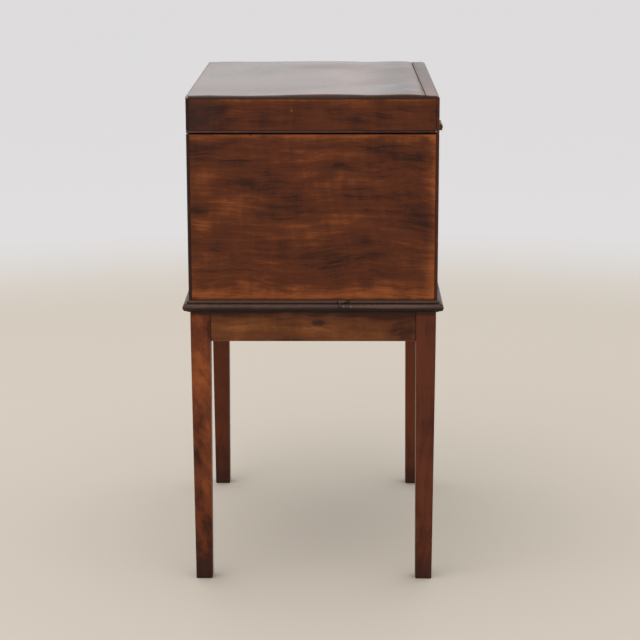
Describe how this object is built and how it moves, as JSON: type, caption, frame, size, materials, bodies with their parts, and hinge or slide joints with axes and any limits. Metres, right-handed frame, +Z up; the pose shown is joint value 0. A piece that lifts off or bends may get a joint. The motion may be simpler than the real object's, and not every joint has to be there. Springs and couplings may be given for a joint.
{
  "type": "cellarette",
  "caption": "Wooden bottle case with a deep hinged lid and partitions, on a moulded stand with square tapered legs.",
  "frame": {"origin": "on the floor, under the middle of the piece", "axes": "+X along the length to the right end, +Y to the back, +Z up"},
  "size_m": [0.5412, 0.3968, 0.763],
  "materials": {
    "case_mahogany": "aged reddish brown mahogany, satin varnish",
    "top_mahogany": "aged mahogany under clouded varnish",
    "leg_mahogany": "aged reddish brown mahogany, satin varnish",
    "rail_mahogany": "golden brown mahogany, satin varnish",
    "dark_moulding": "nearly black stained moulding, satin",
    "dark_bead": "dark stained bead, satin",
    "carcase_wood": "unvarnished secondary wood",
    "partition_wood": "thin mahogany partitions, oiled",
    "baize": "green woollen baize",
    "brass": "aged brass",
    "steel": "dull steel"
  },
  "bodies": {
    "case": {"leg_front_left": "leg_mahogany", "leg_front_right": "leg_mahogany", "leg_back_right": "leg_mahogany", "leg_back_left": "leg_mahogany", "rail_front": "rail_mahogany", "rail_right": "rail_mahogany", "rail_back": "rail_mahogany", "rail_left": "rail_mahogany", "stand_frame_front": "dark_moulding", "stand_frame_right": "dark_moulding", "stand_frame_back": "dark_moulding", "stand_frame_left": "dark_moulding", "corner_block_front_left": "carcase_wood", "corner_block_front_right": "carcase_wood", "corner_block_back_right": "carcase_wood", "corner_block_back_left": "carcase_wood", "box_fixing_screws": "steel", "box_front": "case_mahogany", "box_back": "case_mahogany", "box_left": "case_mahogany", "box_right": "case_mahogany", "box_bottom": "carcase_wood", "floor_lining": "baize", "long_divider_front": "partition_wood", "long_divider_back": "partition_wood", "cross_divider_left": "partition_wood", "cross_divider_middle": "partition_wood", "cross_divider_right": "partition_wood", "hinge_box_leaf_left": "brass", "hinge_box_leaf_right": "brass", "hinge_pin_left": "brass", "hinge_pin_right": "brass", "hinge_box_screws": "brass", "lock_case": "brass", "lock_screws": "brass", "keyhole_escutcheon": "brass"},
    "lid": {"lid_front": "case_mahogany", "lid_back": "case_mahogany", "lid_left": "case_mahogany", "lid_right": "case_mahogany", "lid_top": "top_mahogany", "lid_top_strip": "top_mahogany", "lid_bead_front": "dark_bead", "lid_bead_left": "dark_bead", "lid_bead_right": "dark_bead", "hinge_lid_leaf_left": "brass", "hinge_lid_leaf_right": "brass", "hinge_lid_screws": "brass", "lock_link_plate": "brass", "link_plate_screws": "brass"},
    "bolt": {"lock_bolt": "brass"}
  },
  "joints": [
    {"name": "lid_hinge", "type": "hinge", "parent": "case", "child": "lid", "pos_m": [0, 0.19405, 0.70395], "axis": [-1, 0, 0], "range_deg": [0, 98]},
    {"name": "bolt_slide", "type": "slide", "parent": "case", "child": "bolt", "axis": [1, 0, 0], "range_m": [0, 0.005]}
  ]
}
